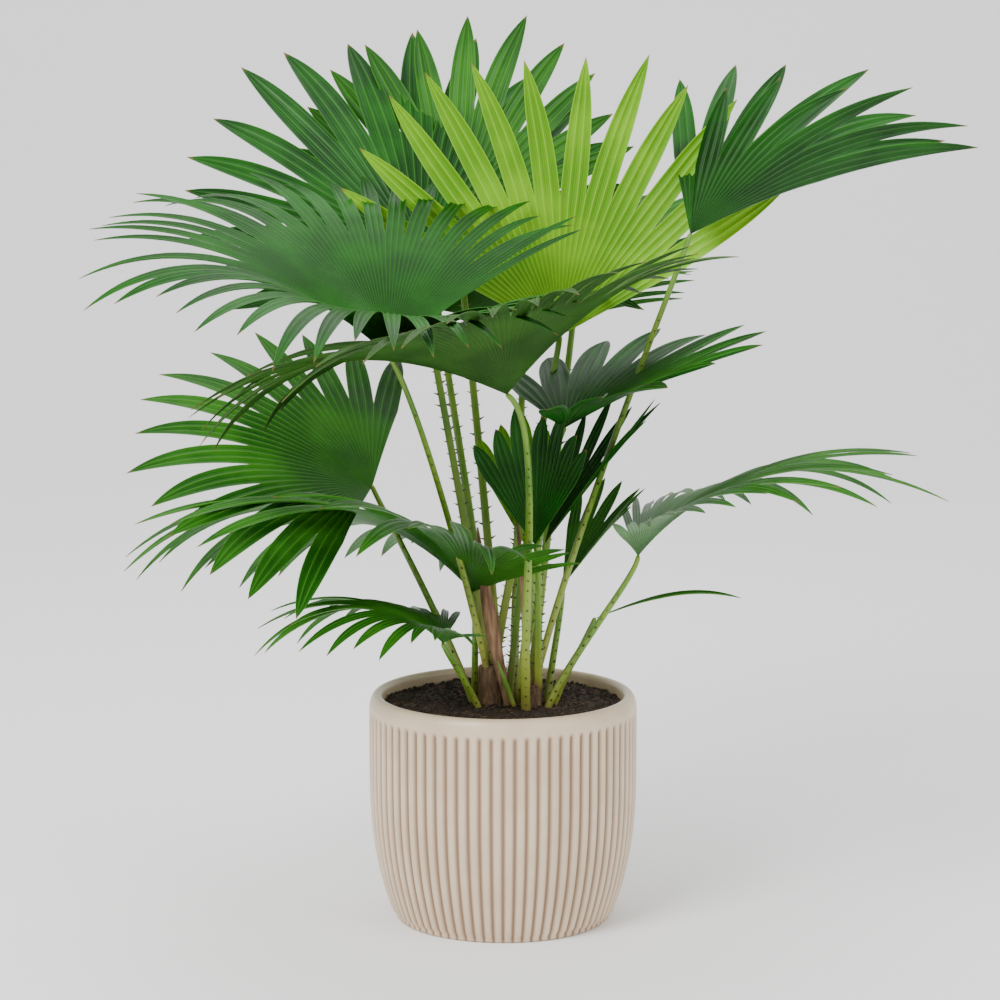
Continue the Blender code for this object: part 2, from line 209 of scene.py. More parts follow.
# %% One material
def rgb(red, green, blue):
    """Opaque colour in linear light."""
    return (red, green, blue, 1.0)


class Paint(Graph):
    """A material whose varying inputs are wired by short formulas."""

    def __init__(self, name):
        self.material = bpy.data.materials.new(name)
        self.material.use_nodes = True
        super().__init__(self.material.node_tree)
        self.shader = self.tree.nodes["Principled BSDF"]

    def place(self):
        """Place on the object, which is also the place in the shared frame."""
        return self.node("ShaderNodeTexCoord", output="Object")

    def noise(self, scale, detail=3.0, stretch=None):
        """Soft noise fixed to the object; a small stretch draws it out along that axis."""
        vector = self.place()
        if stretch:
            inputs = {0: vector, 1: stretch}
            vector = self.node("ShaderNodeVectorMath", inputs, operation="MULTIPLY")
        inputs = {"Vector": vector, "Scale": scale, "Detail": detail}
        return self.node("ShaderNodeTexNoise", inputs)

    def bump(self, height, depth, strength):
        """Fine relief, as deep as depth in metres."""
        inputs = {"Strength": strength, "Distance": depth, "Height": height}
        self.feed(self.shader.inputs["Normal"], self.node("ShaderNodeBump", inputs))

    def dress(self, colour, roughness, **constants):
        """Feed the shader; what is the same all over is set on its own sockets."""
        self.feed(self.shader.inputs["Base Color"], colour)
        self.feed(self.shader.inputs["Roughness"], roughness)
        for name, value in constants.items():
            self.shader.inputs[name.replace("_", " ")].default_value = value
        return self.material

# %% [markdown]
# ## Floor and light
# The floor bends up behind the plant, as a paper roll in a studio does, so no horizon shows
# from the front. A camera more than about 4 m behind the plant stands behind the paper.

# %% Floor
FLOOR_FRONT = -6.0
FLOOR_SIDE = 7.0
BACKDROP_START = 2.6
BACKDROP_BEND = 1.6
BACKDROP_TOP = 7.0
BACKDROP_STEPS = 15


def make_floor():
    """Pale floor that bends up into a backdrop."""
    profile = [(FLOOR_FRONT, 0.0)]
    for step in range(BACKDROP_STEPS + 1):
        turn = math.radians(90.0 / BACKDROP_STEPS * step)
        profile.append((BACKDROP_START + BACKDROP_BEND * math.sin(turn),
                        BACKDROP_BEND - BACKDROP_BEND * math.cos(turn)))
    profile.append((BACKDROP_START + BACKDROP_BEND, BACKDROP_TOP))
    vertices = [(x, y, z) for y, z in profile for x in (-FLOOR_SIDE, FLOOR_SIDE)]
    faces = [(2 * row, 2 * row + 1, 2 * row + 3, 2 * row + 2) for row in range(len(profile) - 1)]
    floor = mesh_object("studio_floor", vertices, faces)
    paint = Paint("studio_paper")
    floor.data.materials.append(paint.dress(rgb(0.97, 0.97, 0.97), 0.9))
    return floor


floor = make_floor()
print("floor of", len(floor.data.polygons), "faces")

# %% Light
LIGHT_AIM = (0.0, 0.0, 0.35)
TOP_LIGHT_AIM = (0.0, 0.2, 0.3)
WORLD_STRENGTH = 0.95


def area_light(name, place, aim, size, watts):
    """Soft square lamp that points at a place."""
    data = bpy.data.lights.new(name, "AREA")
    data.size = size
    data.energy = watts
    lamp = bpy.data.objects.new(name, data)
    lamp.location = place
    lamp.rotation_euler = (Vector(aim) - Vector(place)).to_track_quat("-Z", "Y").to_euler()
    bpy.context.scene.collection.objects.link(lamp)


area_light("key_light", (-1.6, -2.2, 2.6), LIGHT_AIM, size=1.5, watts=125.0)
area_light("fill_light", (2.4, -1.8, 1.6), LIGHT_AIM, size=2.0, watts=30.0)
area_light("top_light", (0.2, 1.0, 2.9), TOP_LIGHT_AIM, size=2.4, watts=38.0)
world = bpy.data.worlds.new("studio_air")
world.use_nodes = True
air = world.node_tree.nodes["Background"]
air.inputs["Color"].default_value = rgb(1.0, 1.0, 1.0)
air.inputs["Strength"].default_value = WORLD_STRENGTH
bpy.context.scene.world = world
print("three lamps and a white world")

# %% [markdown]
# ## The rule of a leaf
# A fan leaf is a bundle of ribs that start at the hastula, the small knob where stalk and
# blade meet. Each rib leaves it at its own angle and bends down as it goes out, and beyond
# the split every lobe hangs by itself. The CAD blades follow the same rule, with coarser lobes.

# %% Leaf table
# One leaf: hastula and foot are points in metres, angles are degrees. heading is the
# midrib's direction round +Z from +X, rise its slope, roll turns the fan about it.
# spread is half of the fan's angle, cup lifts every ray off the fan's plane, fold
# lifts both halves like a book. droop is how far a level ray has turned down at its
# tip. split is where the fan parts into lobes, short how much the basal lobes lack.
Leaf = namedtuple("Leaf", "name hastula foot foot_radius heading rise roll spread cup fold "
                          "length droop arch lobes split short colour")

# The colour column picks a leaf paint; the deep green paint is partly painted shade.
# The young leaf paint is partly painted light that shines through the new blades.
LEAVES = [Leaf(*row) for row in (
    ("young_fan", (0.053, 0.07, 0.54), (-0.0075, -0.0015, 0.2398), 0.0041,
     92, 80, 0, 62, 12, 0, 0.275, 6, 2.0, 12, 0.5, 0.12, "young_leaf"),
    ("front_cup", (0.0033, -0.165, 0.515), (0.0215, -0.0345, 0.2036), 0.0055,
     180, -12, -6, 156, 36, 0, 0.29, 70, 1.3, 20, 0.5, 0.12, "dark_leaf"),
    ("left_cup", (-0.102, -0.12, 0.545), (-0.0155, -0.0085, 0.2398), 0.0041,
     182, 6, 10, 152, 38, 0, 0.305, 75, 1.5, 20, 0.5, 0.28, "dark_leaf"),
    ("high_right", (0.1719, 0.01, 0.6408), (0.029, -0.008, 0.223), 0.0041,
     5, 21, 0, 78, 5, 40, 0.268, 38, 1.5, 12, 0.48, 0.3, "dark_leaf"),
    ("high_left", (-0.0776, 0.11, 0.6137), (-0.0155, 0.002, 0.2398), 0.0041,
     105, 46, 0, 118, 8, 0, 0.262, 15, 2.0, 18, 0.52, 0.2, "dark_leaf"),
    ("left_arch", (-0.0288, 0.0000, 0.3087), (-0.026, 0.015, 0.2036), 0.0045,
     182, 24, -10, 115, 26, 0, 0.35, 108, 1.0, 16, 0.5, 0.55, "mid_leaf"),
    ("right_arch", (0.1245, -0.02, 0.3462), (0.041, -0.022, 0.2036), 0.0045,
     0, 30, 6, 88, 22, 0, 0.3, 108, 1.0, 14, 0.48, 0.5, "mid_leaf"),
    ("left_fan", (-0.1221, 0.03, 0.4035), (-0.0275, -0.001, 0.2036), 0.0045,
     178, 22, 26, 86, 10, 0, 0.235, 35, 1.5, 14, 0.52, 0.1, "mid_leaf"),
    ("right_dark", (0.0561, -0.04, 0.4683), (0.013, -0.003, 0.2036), 0.0045,
     8, 12, 0, 110, 20, 0, 0.2, 25, 2.0, 12, 0.55, 0.25, "dark_leaf"),
    ("low_left", (-0.0551, -0.05, 0.2704), (-0.0225, -0.024, 0.2036), 0.004,
     185, 22, -4, 100, 24, 0, 0.185, 110, 1.0, 12, 0.48, 0.45, "mid_leaf"),
    ("centre_folded", (0.0291, -0.06, 0.3634), (0.033, -0.0165, 0.223), 0.0038,
     60, 78, 0, 42, 5, 20, 0.125, 0, 2.0, 7, 0.7, 0.2, "dark_leaf"),
    ("right_low_fan", (0.0554, 0.03, 0.3079), (0.041, -0.003, 0.2036), 0.0042,
     20, 46, 0, 40, 5, 20, 0.125, 10, 2.0, 7, 0.6, 0.15, "mid_leaf"),
    ("right_back_fan", (0.0389, 0.01, 0.353), (0.013, 0.008, 0.2036), 0.0042,
     15, 46, 0, 34, 5, 20, 0.165, 5, 2.0, 7, 0.55, 0.15, "dark_leaf"),
    ("centre_young", (0.02, 0.05, 0.345), (0.006, 0.024, 0.2036), 0.0038,
     90, 82, 0, 30, 5, 0, 0.12, 0, 2.0, 5, 0.7, 0.2, "young_leaf"),
    ("strap", (0.085, -0.008, 0.285), (0.048, -0.01, 0.2036), 0.003,
     0, 18, 0, 7, 5, 0, 0.135, 32, 1.5, 1, 0.45, 0.0, "mid_leaf"),
    ("high_back", (-0.045, 0.18, 0.64), (-0.002, 0.018, 0.2036), 0.0045,
     80, 66, 0, 75, 10, 0, 0.205, 12, 2.0, 11, 0.52, 0.1, "mid_leaf"),
    ("back_mid", (0.02, 0.2, 0.53), (0.01, 0.036, 0.2036), 0.0045,
     88, 25, 0, 80, 14, 0, 0.215, 45, 1.5, 12, 0.5, 0.25, "mid_leaf"),
    ("back_right", (0.07, 0.16, 0.57), (0.026, 0.022, 0.2036), 0.0045,
     65, 30, 0, 62, 14, 0, 0.18, 35, 1.5, 8, 0.5, 0.25, "mid_leaf"),
    ("back_left", (-0.065, 0.2, 0.57), (-0.008, 0.038, 0.2036), 0.0045,
     112, 25, 0, 65, 12, 0, 0.18, 35, 1.5, 9, 0.5, 0.25, "mid_leaf"),
)]

# %% Ribs and lobes
BEND_STEPS = 24
STEEP_LIMIT = -84.0
LEAST_SLACK = 0.25
SHORT_LOBE_STIFFNESS = 3.0
LENGTH_JITTER = 0.06
DROOP_JITTER = 9.0


def blade_frame(leaf):
    """Midrib direction, upper-face normal and sideways direction of a leaf."""
    heading, rise, roll = (math.radians(value) for value in (leaf.heading, leaf.rise, leaf.roll))
    level, climb = math.cos(rise), math.sin(rise)
    along = Vector((level * math.cos(heading), level * math.sin(heading), climb))
    up = Vector((-climb * math.cos(heading), -climb * math.sin(heading), level))
    side = up.cross(along)
    normal = up * math.cos(roll) + side * math.sin(roll)
    return along, normal, side * math.cos(roll) - up * math.sin(roll)


def ray_start(leaf, angle):
    """Direction in which the ray at this fan angle leaves the hastula."""
    along, normal, side = blade_frame(leaf)
    fold, cup = math.radians(leaf.fold), math.radians(leaf.cup)
    wing = side * math.copysign(math.cos(fold), angle) + normal * math.sin(fold)
    flat = along * math.cos(angle) + wing * abs(math.sin(angle))
    return (flat * math.cos(cup) + normal * math.sin(cup)).normalized()


def ray_points(leaf, angle, reach, distances, extra_droop=0.0):
    """Points at these distances along a ray that bends down as it goes out."""
    start = ray_start(leaf, angle)
    flat = Vector((start.x, start.y, 0.0)).normalized()
    slope = math.asin(max(-1.0, min(1.0, start.z)))
    slack = LEAST_SLACK + (1.0 - LEAST_SLACK) * math.cos(slope)
    bend = math.radians(leaf.droop) * slack * (reach / leaf.length) ** SHORT_LOBE_STIFFNESS
    point = Vector(leaf.hastula)
    step = reach / BEND_STEPS
    track = [point.copy()]
    for index in range(BEND_STEPS):
        part = (index + 0.5) / BEND_STEPS
        late = max(0.0, part - leaf.split) / (1.0 - leaf.split)
        here = slope - bend * part ** leaf.arch - math.radians(extra_droop) * late
        here = max(here, math.radians(STEEP_LIMIT))
        point = point + (flat * math.cos(here) + UP * math.sin(here)) * step
        track.append(point.copy())
    points = []
    for distance in distances:
        place = min(distance / step, BEND_STEPS - 1e-6)
        low = int(place)
        points.append(track[low].lerp(track[low + 1], place - low))
    return points


def lobe_shape(leaf, index, rng):
    """Length and extra droop of one lobe."""
    middle = (index + 0.5) / leaf.lobes * 2.0 - 1.0
    length = leaf.length * (1.0 - leaf.short * middle * middle)
    length *= 1.0 + rng.uniform(-LENGTH_JITTER, LENGTH_JITTER)
    return length, rng.uniform(-DROOP_JITTER, DROOP_JITTER)


print(len(LEAVES), "leaves with", sum(leaf.lobes for leaf in LEAVES), "lobes")

# %% [markdown]
# ## Blades
# A real blade is one thin sheet, pressed into pleats that run along its ribs. It could be
# modelled by hand, but a grid that follows the ribs gives the pleats for nothing: each row is
# shifted along its normal by a cosine. Beyond the split each lobe gets a keel and a point.
# Blades that droop far are cut into twice as many lobes, because narrow straps hang better.

# %% Rows of a blade
PLEATS = 3
PLEAT_COLUMNS = 4
COLUMNS = PLEATS * PLEAT_COLUMNS
JOINED_ROWS = 12
FREE_ROWS = 16
STRAP_POWER = 3.2


def lobe_angle(leaf, place):
    """Fan angle at a place counted in lobes."""
    return math.radians(leaf.spread) * (2.0 * place / leaf.lobes - 1.0)


def fan_rows(leaf, lobes):
    """Rows of the joined part, from near the hastula out to the split."""
    ends = [0.5 * (lobes[max(index - 1, 0)][0] + lobes[min(index, leaf.lobes - 1)][0])
            for index in range(leaf.lobes + 1)]
    columns = []
    for column in range(leaf.lobes * COLUMNS + 1):
        place = column / COLUMNS
        low = min(int(place), leaf.lobes - 1)
        reach = ends[low] + (ends[low + 1] - ends[low]) * (place - low)
        distances = [reach * leaf.split * (row + 1) / JOINED_ROWS for row in range(JOINED_ROWS)]
        columns.append(ray_points(leaf, lobe_angle(leaf, place), reach, distances))
    return [list(row) for row in zip(*columns)]


def lobe_rows(leaf, index, lobe, edge):
    """Rows of one free lobe, the first of them its edge at the split, and its tip."""
    length, extra = lobe
    start = leaf.split * length
    parts = shares(FREE_ROWS + 1)
    distances = [start + (length - start) * part for part in parts]
    spine = ray_points(leaf, lobe_angle(leaf, index + 0.5), length, distances, extra)
    half = (edge[-1] - edge[0]) * 0.5
    shift = (edge[0] + edge[-1]) * 0.5 - spine[0]
    rows = [edge]
    for part, point in zip(parts[1:-1], spine[1:-1]):
        width = 1.0 - part ** STRAP_POWER
        centre = point + shift * (1.0 - part)
        row = []
        for column, corner in enumerate(edge):
            bulge = corner - edge[0].lerp(edge[-1], column / COLUMNS)
            row.append(centre + (half * (2.0 * column / COLUMNS - 1.0) + bulge * (1.0 - part)) * width)
        rows.append(row)
    return rows, spine[-1]

# %% Pleats
PLEAT_DEPTH = 0.11
KEEL = 0.3


def pleated(rows, keel):
    """The same rows pressed into pleats; with a keel, the middle also sinks."""
    moved = []
    for level, row in enumerate(rows):
        before = rows[max(level - 1, 0)]
        after = rows[min(level + 1, len(rows) - 1)]
        new = []
        for column, point in enumerate(row):
            low, high = max(column - 1, 0), min(column + 1, len(row) - 1)
            across = (row[high] - row[low]) / (high - low)
            normal = (after[column] - before[column]).cross(across).normalized()
            wave = math.cos(2.0 * math.pi * column / PLEAT_COLUMNS)
            lift = wave * PLEAT_DEPTH * PLEAT_COLUMNS * across.length
            if keel:
                side = abs(2.0 * column / COLUMNS - 1.0) - 0.5
                lift += keel * side * 0.5 * COLUMNS * across.length * level / len(rows)
            new.append(point + normal * lift)
        moved.append(new)
    return moved

# %% Sheet of faces
class Sheet:
    """Vertices, faces and corner UVs of a blade in the making."""

    def __init__(self, centre):
        self.vertices = [centre]
        self.faces = []
        self.uvs = []

    def row(self, points):
        """Add a row of vertices and return their numbers."""
        start = len(self.vertices)
        self.vertices += points
        return range(start, len(self.vertices))

    def strip(self, near, far, near_part, far_part):
        """Faces between two rows; a row of one vertex is a point."""
        wide = max(len(near), len(far)) - 1
        for column in range(wide):
            left = (column % COLUMNS) / COLUMNS
            right = left + 1.0 / COLUMNS
            corners = []
            for ids, place, across, part in (
                    (near, column, left, near_part), (far, column, left, far_part),
                    (far, column + 1, right, far_part), (near, column + 1, right, near_part)):
                corner = ids[min(place, len(ids) - 1)]
                if corner not in corners:
                    corners.append(corner)
                    self.uvs.append((across, part))
            self.faces.append(tuple(corners))

# %% One whole blade
NARROW_DROOP = 40.0
SHEET_THICKNESS = 0.0005


def fine_blade(leaf):
    """Pleated blade of one leaf, closed and thin."""
    rng = random.Random(leaf.name)
    if leaf.droop > NARROW_DROOP:
        leaf = leaf._replace(lobes=2 * leaf.lobes)
    lobes = [lobe_shape(leaf, index, rng) for index in range(leaf.lobes)]
    fan = fan_rows(leaf, lobes)
    sheet = Sheet(Vector(leaf.hastula))
    near, near_part = range(1), 0.0
    for level, points in enumerate(pleated(fan, 0.0)):
        far, far_part = sheet.row(points), leaf.split * (level + 1) / JOINED_ROWS
        sheet.strip(near, far, near_part, far_part)
        near, near_part = far, far_part
    for index, lobe in enumerate(lobes):
        first = index * COLUMNS
        rows, tip = lobe_rows(leaf, index, lobe, fan[-1][first:first + COLUMNS + 1])
        low, low_part = near[first:first + COLUMNS + 1], leaf.split
        for level, points in enumerate(pleated(rows, KEEL)[1:], 1):
            high, high_part = sheet.row(points), leaf.split + (1.0 - leaf.split) * level / FREE_ROWS
            sheet.strip(low, high, low_part, high_part)
            low, low_part = high, high_part
        sheet.strip(low, sheet.row([tip]), low_part, 1.0)
    made = mesh_object("blade_" + leaf.name, sheet.vertices, sheet.faces, sheet.uvs)
    thick = made.modifiers.new("thickness", "SOLIDIFY")
    thick.thickness = SHEET_THICKNESS
    thick.offset = 0.0
    return settle(made)

# %% [markdown]
# ## Leaf paint
# A mature leaf is deep satin green, its veins are paler, and its tips dry to brown. The deeper green
# of some leaves is partly their own tone and partly painted shade. The new fan is yellow-green, and
# its paint is made brighter with painted light that shines through it. One recipe makes all of them:
# noise for the uneven green, stripes from the blade's own UV map for veins, and the UV's far end for
# the brown tip.

# %% Leaf materials
VEINS_PER_PLEAT = 4.0
DRY_TIP = rgb(0.2, 0.11, 0.04)


def leaf_paint(name, deep, light, vein, least_roughness):
    """Satin leaf with veins along each lobe and a dry tip."""
    paint = Paint(name)
    across, along = paint.parts(paint.node("ShaderNodeUVMap", uv_map="UVMap"))[:2]
    patch = paint.noise(scale=14.0, detail=4.0).rise(0.35, 0.68)
    green = paint.mix(patch, deep, light)
    veins = (across * (2.0 * math.pi * PLEATS * VEINS_PER_PLEAT)).wave() ** 3.0
    ribs = (across * (2.0 * math.pi * PLEATS)).wave() ** 10.0
    green = paint.mix(veins * 0.22 + ribs * 0.55, green, vein)
    fray = paint.noise(scale=55.0) * 0.035
    dry = (along + fray).rise(0.985, 1.018)
    colour = paint.mix(dry, green, DRY_TIP)
    paint.bump(veins * 0.6 + ribs, depth=0.0006, strength=0.45)
    roughness = paint.noise(scale=30.0) * 0.16 + least_roughness
    return paint.dress(colour, roughness, Specular_IOR_Level=0.16)


leaf_materials = {
    # deep green: partly the leaves' own darker tone, partly painted shade for leaves that sit in shade
    "dark_leaf": leaf_paint("leaf_green_deep", rgb(0.002, 0.034, 0.002), rgb(0.008, 0.1, 0.004),
                            rgb(0.035, 0.18, 0.014), 0.27),
    "mid_leaf": leaf_paint("leaf_green_mid", rgb(0.006, 0.07, 0.003), rgb(0.026, 0.16, 0.007),
                           rgb(0.075, 0.26, 0.02), 0.29),
    # new-leaf yellow-green: partly its own tone, partly painted light that shines through the thin blade
    "young_leaf": leaf_paint("leaf_green_new", rgb(0.085, 0.29, 0.004), rgb(0.185, 0.45, 0.008),
                             rgb(0.34, 0.62, 0.035), 0.33),
    # front_cup shows its duller underside, so it gets a paint by its own name
    "front_cup": leaf_paint("leaf_green_under", rgb(0.008, 0.042, 0.004), rgb(0.024, 0.09, 0.008),
                            rgb(0.065, 0.14, 0.022), 0.36),
}
print(len(leaf_materials), "leaf paints")

# %% All blades
blade_count = 0
for leaf in LEAVES:
    blade = fine_blade(leaf)
    blade.data.materials.append(leaf_materials.get(leaf.name, leaf_materials[leaf.colour]))
    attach(blade, "root")
    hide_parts("leaf_" + leaf.name)
    blade_count += triangles(blade)
print("blades:", blade_count, "triangles")

# %% [markdown]
# ## Stalks and their spines
# A petiole is a long bow with a shallow channel on its upper face and small leaning spines
# along both edges. The bow is a Bezier curve; the spines repeat, so Geometry Nodes sets one
# cone on every point of a small cloud that lies along the edges.

# %% Curves and limbs
def bezier(points, part):
    """Point at a share of the way along a Bezier curve."""
    points = [Vector(point) for point in points]
    while len(points) > 1:
        points = [low.lerp(high, part) for low, high in zip(points, points[1:])]
    return points[0]


def frames(path, across):
    """Point, forward, across and upward direction along a path, without twist."""
    steps = []
    for index, point in enumerate(path):
        forward = (path[min(index + 1, len(path) - 1)] - path[max(index - 1, 0)]).normalized()
        across = (across - forward * across.dot(forward)).normalized()
        steps.append((point, forward, across, forward.cross(across)))
    return steps


def limb(name, path, radii, sides, across, shape):
    """Closed limb; shape gives the share of the radius at a turn and a place along it."""
    vertices = [path[0]]
    faces = []
    uvs = []
    rings = len(path) - 1
    for index, (point, forward, right, upper) in enumerate(frames(path, across)):
        for side in range(sides):
            turn = 2.0 * math.pi * side / sides
            away = right * math.cos(turn) + upper * math.sin(turn)
            vertices.append(point + away * radii[index] * shape(turn, index / rings))
    vertices.append(path[-1])
    last = len(vertices) - 1
    for side in range(sides):
        after = (side + 1) % sides
        left, right = side / sides, (side + 1) / sides
        faces.append((0, 1 + after, 1 + side))
        uvs += [(left, 0.0), (right, 0.0), (left, 0.0)]
        for ring in range(rings):
            low, high = 1 + ring * sides, 1 + (ring + 1) * sides
            near, far = ring / rings, (ring + 1) / rings
            faces.append((low + side, low + after, high + after, high + side))
            uvs += [(left, near), (right, near), (right, far), (left, far)]
        top = 1 + rings * sides
        faces.append((top + side, top + after, last))
        uvs += [(left, 1.0), (right, 1.0), (left, 1.0)]
    return mesh_object(name, vertices, faces, uvs)

# %% Bow of a stalk
STALK_SIDES = 16
STALK_RINGS = 40
STALK_TIP_RADIUS = 0.0028
STALK_TIP_TAPER = 0.55
STALK_ARRIVAL = math.radians(50.0)
STALK_LEAN_SHARE = 0.75
STALK_CLIMB_SHARE = 0.35
STALK_END_SHARE = 0.12
STALK_OVERRUN = 0.0008
CAD_BLADE_RATIO = 0.0105
CAD_TIP_GAP = 0.0006
FOOT_SINK = 0.006
STALK_FLATNESS = 0.14
CHANNEL_DEPTH = 0.22
CHANNEL_POWER = 6


def stalk_ends(leaf):
    """Tip of the CAD stalk under its hastula, and the direction in which it gets there."""
    along, normal, side = blade_frame(leaf)
    direction = (along * math.cos(STALK_ARRIVAL) + normal * math.sin(STALK_ARRIVAL)).normalized()
    clear = 0.5 * CAD_BLADE_RATIO * leaf.length + CAD_TIP_GAP
    return Vector(leaf.hastula) - direction * clear, direction


def stalk_path(leaf):
    """Points and radii of a petiole, from under the soil up into its blade."""
    foot = Vector(leaf.foot)
    tip, direction = stalk_ends(leaf)
    span = (tip - foot).length
    climb = UP.lerp((tip - foot).normalized(), STALK_LEAN_SHARE)
    before = tip - direction * span * STALK_END_SHARE
    control = (foot, foot + climb * span * STALK_CLIMB_SHARE, before, tip)
    parts = shares(STALK_RINGS)
    path = [foot - UP * FOOT_SINK] + [bezier(control, part) for part in parts]
    path.append(Vector(leaf.hastula) + direction * STALK_OVERRUN)
    radii = [leaf.foot_radius + (STALK_TIP_RADIUS - leaf.foot_radius) * part for part in parts]
    return path, [radii[0]] + radii + [STALK_TIP_TAPER * STALK_TIP_RADIUS]


def channel(turn, part):
    """Flattened round with a shallow channel on its upper face."""
    flat = 1.0 - STALK_FLATNESS + STALK_FLATNESS * abs(math.cos(turn))
    return flat * (1.0 - CHANNEL_DEPTH * max(0.0, math.sin(turn)) ** CHANNEL_POWER)


def edge_direction(leaf):
    """Level direction from the middle of a petiole to its edge."""
    heading = math.radians(leaf.heading)
    return Vector((-math.sin(heading), math.cos(heading), 0.0))

# %% Stalk paint
STRIPES = 14.0


def stalk_paint():
    """Green that turns yellow towards the foot, with fine stripes along it."""
    paint = Paint("stalk_green")
    across, along = paint.parts(paint.node("ShaderNodeUVMap", uv_map="UVMap"))[:2]
    patch = paint.noise(scale=40.0, stretch=(1.0, 1.0, 0.25)).rise(0.3, 0.7)
    green = paint.mix(patch, rgb(0.09, 0.22, 0.014), rgb(0.2, 0.34, 0.028))
    colour = paint.mix(along.rise(0.45, 0.0), green, rgb(0.29, 0.33, 0.045))
    colour = paint.mix(along.rise(0.1, 0.0) * 0.7, colour, rgb(0.15, 0.075, 0.03))
    stripes = (across * (2.0 * math.pi * STRIPES)).wave()
    paint.bump(stripes + patch, depth=0.0003, strength=0.35)
    return paint.dress(colour, patch * 0.15 + 0.36)


stalk_material = stalk_paint()

# %% All stalks
stalk_count = 0
for leaf in LEAVES:
    path, radii = stalk_path(leaf)
    stalk = limb("petiole_" + leaf.name, path, radii, STALK_SIDES, edge_direction(leaf), channel)
    stalk.data.materials.append(stalk_material)
    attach(stalk, "root")
    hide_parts("stalk_" + leaf.name)
    stalk_count += triangles(stalk)
print("stalks:", stalk_count, "triangles")

# %% [markdown]
# ## Geometry Nodes from a script
# A tree is built once with named inputs and run on an object, and what it makes stays as a
# plain mesh. Inputs are set by their sockets' identifiers before the first evaluation.

# %% Geometry Nodes helpers
SOCKET_KINDS = {float: "NodeSocketFloat", int: "NodeSocketInt", tuple: "NodeSocketVector",
                type(None): "NodeSocketMaterial"}


class Build(Graph):
    """A Geometry Nodes tree: one geometry in and out, other inputs by name and start value."""

    def __init__(self, name, inputs):
        super().__init__(bpy.data.node_groups.new(name, "GeometryNodeTree"))
        face = self.tree.interface
        face.new_socket("Geometry", in_out="INPUT", socket_type="NodeSocketGeometry")
        for key, value in inputs.items():
            kind = SOCKET_KINDS[type(value)]
            socket = face.new_socket(key, in_out="INPUT", socket_type=kind)
            if value is not None:
                socket.default_value = value
        face.new_socket("Geometry", in_out="OUTPUT", socket_type="NodeSocketGeometry")
        self.start = self.tree.nodes.new("NodeGroupInput")

    def given(self, name):
        """One of the tree's own inputs."""
        return Wire(self, self.start.outputs[name])

    def finish(self, geometry):
        """Realize what was made, give it its material and hand it out."""
        real = self.node("GeometryNodeRealizeInstances", {"Geometry": geometry})
        smooth = self.node("GeometryNodeSetShadeSmooth", {"Geometry": real})
        inputs = {"Geometry": smooth, "Material": self.given("Material")}
        painted = self.node("GeometryNodeSetMaterial", inputs)
        end = self.tree.nodes.new("NodeGroupOutput")
        self.feed(end.inputs["Geometry"], painted)
        return self.tree

    def random(self, low, high, seed, kind="FLOAT"):
        """Random number or vector with one value for each element."""
        first, output = (0, 0) if kind == "FLOAT_VECTOR" else (2, 1)
        inputs = {first: low, first + 1: high, "Seed": seed}
        return self.node("FunctionNodeRandomValue", inputs, output, data_type=kind)

    def instances(self, points, piece, way, scale):
        """Set the piece on every point with its Z axis along the way, and finish."""
        turn = self.node("FunctionNodeAlignRotationToVector", {"Vector": way}, axis="Z")
        inputs = {"Points": points, "Instance": piece, "Rotation": turn, "Scale": scale}
        return self.finish(self.node("GeometryNodeInstanceOnPoints", inputs))


def run_nodes(made, tree, values):
    """Run a tree on an object with these inputs and keep the plain mesh."""
    modifier = made.modifiers.new(tree.name, "NODES")
    modifier.node_group = tree
    for item in tree.interface.items_tree:
        if item.name in values:
            modifier[item.identifier] = values[item.name]
    made.update_tag()
    return settle(made)

# %% Spines
SPINE_STEP = 0.0085
SPINE_LENGTH = 0.0044
SPINE_SHARE = 0.72
SPINE_SINK = 0.95
SPINE_LEAN = 0.45
SPINE_SEED = 4


def spine_cloud():
    """Points along both edges of every stalk, each with its outward direction."""
    points = []
    directions = []
    for leaf in LEAVES:
        path, radii = stalk_path(leaf)
        steps = frames(path, edge_direction(leaf))
        gone = 0.0
        for index in range(2, int(SPINE_SHARE * len(steps))):
            gone += (path[index] - path[index - 1]).length
            if gone < SPINE_STEP:
                continue
            gone = 0.0
            point, forward, right, upper = steps[index]
            for side in (-1.0, 1.0):
                points.append(point + right * side * radii[index] * SPINE_SINK)
                directions.append(right * side + forward * SPINE_LEAN)
    cloud = mesh_object("stalk_spines", points, [])
    out = cloud.data.attributes.new("out", "FLOAT_VECTOR", "POINT")
    out.data.foreach_set("vector", [value for way in directions for value in way])
    return cloud


def spine_tree():
    """One cone on each point, turned to its outward direction, of varying size."""
    build = Build("spines_on_edges", {"Length": SPINE_LENGTH, "Seed": SPINE_SEED, "Material": None})
    length = build.given("Length")
    inputs = {"Vertices": 6, "Side Segments": 2, "Depth": length,
              "Radius Top": length * 0.03, "Radius Bottom": length * 0.22}
    cone = build.node("GeometryNodeMeshCone", inputs)
    way = build.node("GeometryNodeInputNamedAttribute", {"Name": "out"}, data_type="FLOAT_VECTOR")
    size = build.random(0.6, 1.25, build.given("Seed"))
    return build.instances(build.given("Geometry"), cone, way, size)


def spine_paint():
    """Brown spines, some of them greener."""
    paint = Paint("spine_brown")
    tone = paint.noise(scale=60.0).rise(0.35, 0.65)
    return paint.dress(paint.mix(tone, rgb(0.06, 0.04, 0.012), rgb(0.15, 0.13, 0.03)), 0.5)


spines = run_nodes(spine_cloud(), spine_tree(), {
    "Length": SPINE_LENGTH, "Seed": SPINE_SEED, "Material": spine_paint()})
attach(spines, "root")
print("spines:", triangles(spines), "triangles")

# %% [markdown]
# ## Stems and sheaths
# The two stems are short trunks wrapped in brown fibre, which is what is left of old leaf
# bases. A fibrous skin is a rough tube with ridges along it, and loose hairs that Geometry
# Nodes scatters over it. The dry sheaths are thin papery tongues.

